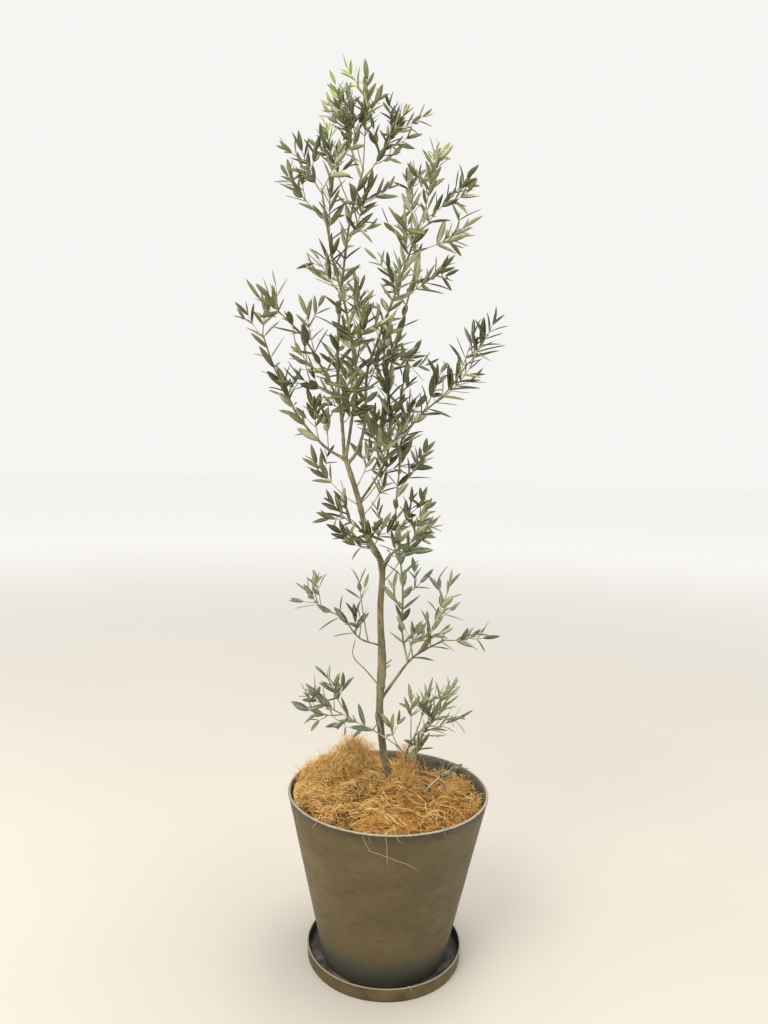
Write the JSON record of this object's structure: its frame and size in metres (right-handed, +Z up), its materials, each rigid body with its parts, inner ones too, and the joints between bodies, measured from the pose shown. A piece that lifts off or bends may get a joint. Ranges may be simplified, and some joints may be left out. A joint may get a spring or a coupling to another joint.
{
  "type": "potted olive tree",
  "caption": "Young olive tree with a slim bent trunk and an airy crown of narrow leaves, in a tapered dark pot topped with coconut fibre, on a saucer.",
  "frame": {"origin": "middle of the saucer's flat underside, on the floor", "axes": "+Z up along the pot's axis, -Y towards the viewer, +X to the viewer's right"},
  "size_m": [0.5337, 0.4145, 1.6566],
  "materials": {
    "pot_resin": "matt stone-like resin, dark warm grey, with a worn pale lip",
    "saucer_resin": "matt dark grey resin with a worn pale rim",
    "grower_pot": "thin terracotta-coloured moulded pot",
    "soil": "dark damp potting soil",
    "coir": "loose golden-brown coconut fibre",
    "bark": "smooth young olive bark, grey-brown to olive green, with small knots",
    "foliage": "narrow leathery leaves, olive green above and silver grey-green below"
  },
  "bodies": {
    "root": {"saucer": "saucer_resin", "pot": "pot_resin", "inner_pot": "grower_pot", "soil": "soil", "coir": "coir", "trunk": "bark", "back_bough": "bark", "back_leader": "bark", "front_leader": "bark", "inner_left_arm": "bark", "left_arm": "bark", "left_low_bough": "bark", "low_left_twig": "bark", "low_right_stem": "bark", "middle_leader": "bark", "right_arm": "bark", "right_leader": "bark", "right_low_bough": "bark", "right_shoot": "bark", "arm_inner_leaves": "foliage", "back_high_leaves": "foliage", "back_low_leaves": "foliage", "back_middle_leaves": "foliage", "back_top_leaves": "foliage", "centre_leaves": "foliage", "centre_low_leaves": "foliage", "far_left_leaves": "foliage", "front_low_leaves": "foliage", "front_middle_leaves": "foliage", "inner_low_leaves": "foliage", "knot_leaves": "foliage", "left_arm_leaves": "foliage", "left_high_leaves": "foliage", "left_inner_leaves": "foliage", "left_low_leaves": "foliage", "left_lower_leaves": "foliage", "left_middle_leaves": "foliage", "left_top_leaves": "foliage", "left_trunk_leaves": "foliage", "left_upper_leaves": "foliage", "low_left_leaves": "foliage", "low_right_leaves": "foliage", "near_low_leaves": "foliage", "right_arm_leaves": "foliage", "right_back_leaves": "foliage", "right_fork_leaves": "foliage", "right_front_leaves": "foliage", "right_inner_leaves": "foliage", "right_low_crown_leaves": "foliage", "right_low_leaves": "foliage", "right_lower_leaves": "foliage", "right_middle_leaves": "foliage", "right_side_leaves": "foliage", "right_top_leaves": "foliage", "rim_shoot_leaves": "foliage", "spur_leaves": "foliage", "top_leaves": "foliage", "top_left_leaves": "foliage", "top_right_leaves": "foliage", "upper_left_leaves": "foliage"}
  },
  "joints": []
}
